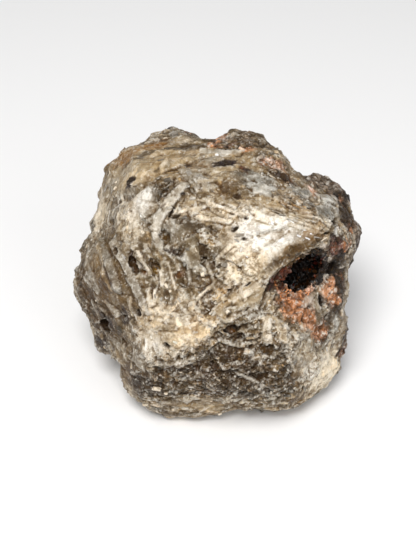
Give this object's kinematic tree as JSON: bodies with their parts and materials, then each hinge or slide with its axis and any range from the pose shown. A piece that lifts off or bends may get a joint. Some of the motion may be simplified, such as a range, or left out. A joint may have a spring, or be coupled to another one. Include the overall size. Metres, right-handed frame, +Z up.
{
  "type": "celestite cluster",
  "caption": "Rough broken lump of bladed cream, grey and white celestite crystals on a knobbly red-brown rind, with an open dark vug in its broad face and a flat base.",
  "frame": {"origin": "centre of the bounding box's underside, on the flat base", "axes": "+X across the broad face, to its right as seen from the front; -Y towards the viewer, with the broad face leaning back to face -Y and +Z; +Z up"},
  "size_m": [0.0902, 0.0814, 0.075],
  "materials": {
    "celestite": "sugary bladed crystal, cream, grey and white, with matt red-brown host rock along the top and right",
    "druse": "small glossy dark red-brown crystals"
  },
  "bodies": {
    "root": {"celestite_mass": "celestite", "vug_druse": "druse"}
  },
  "joints": []
}
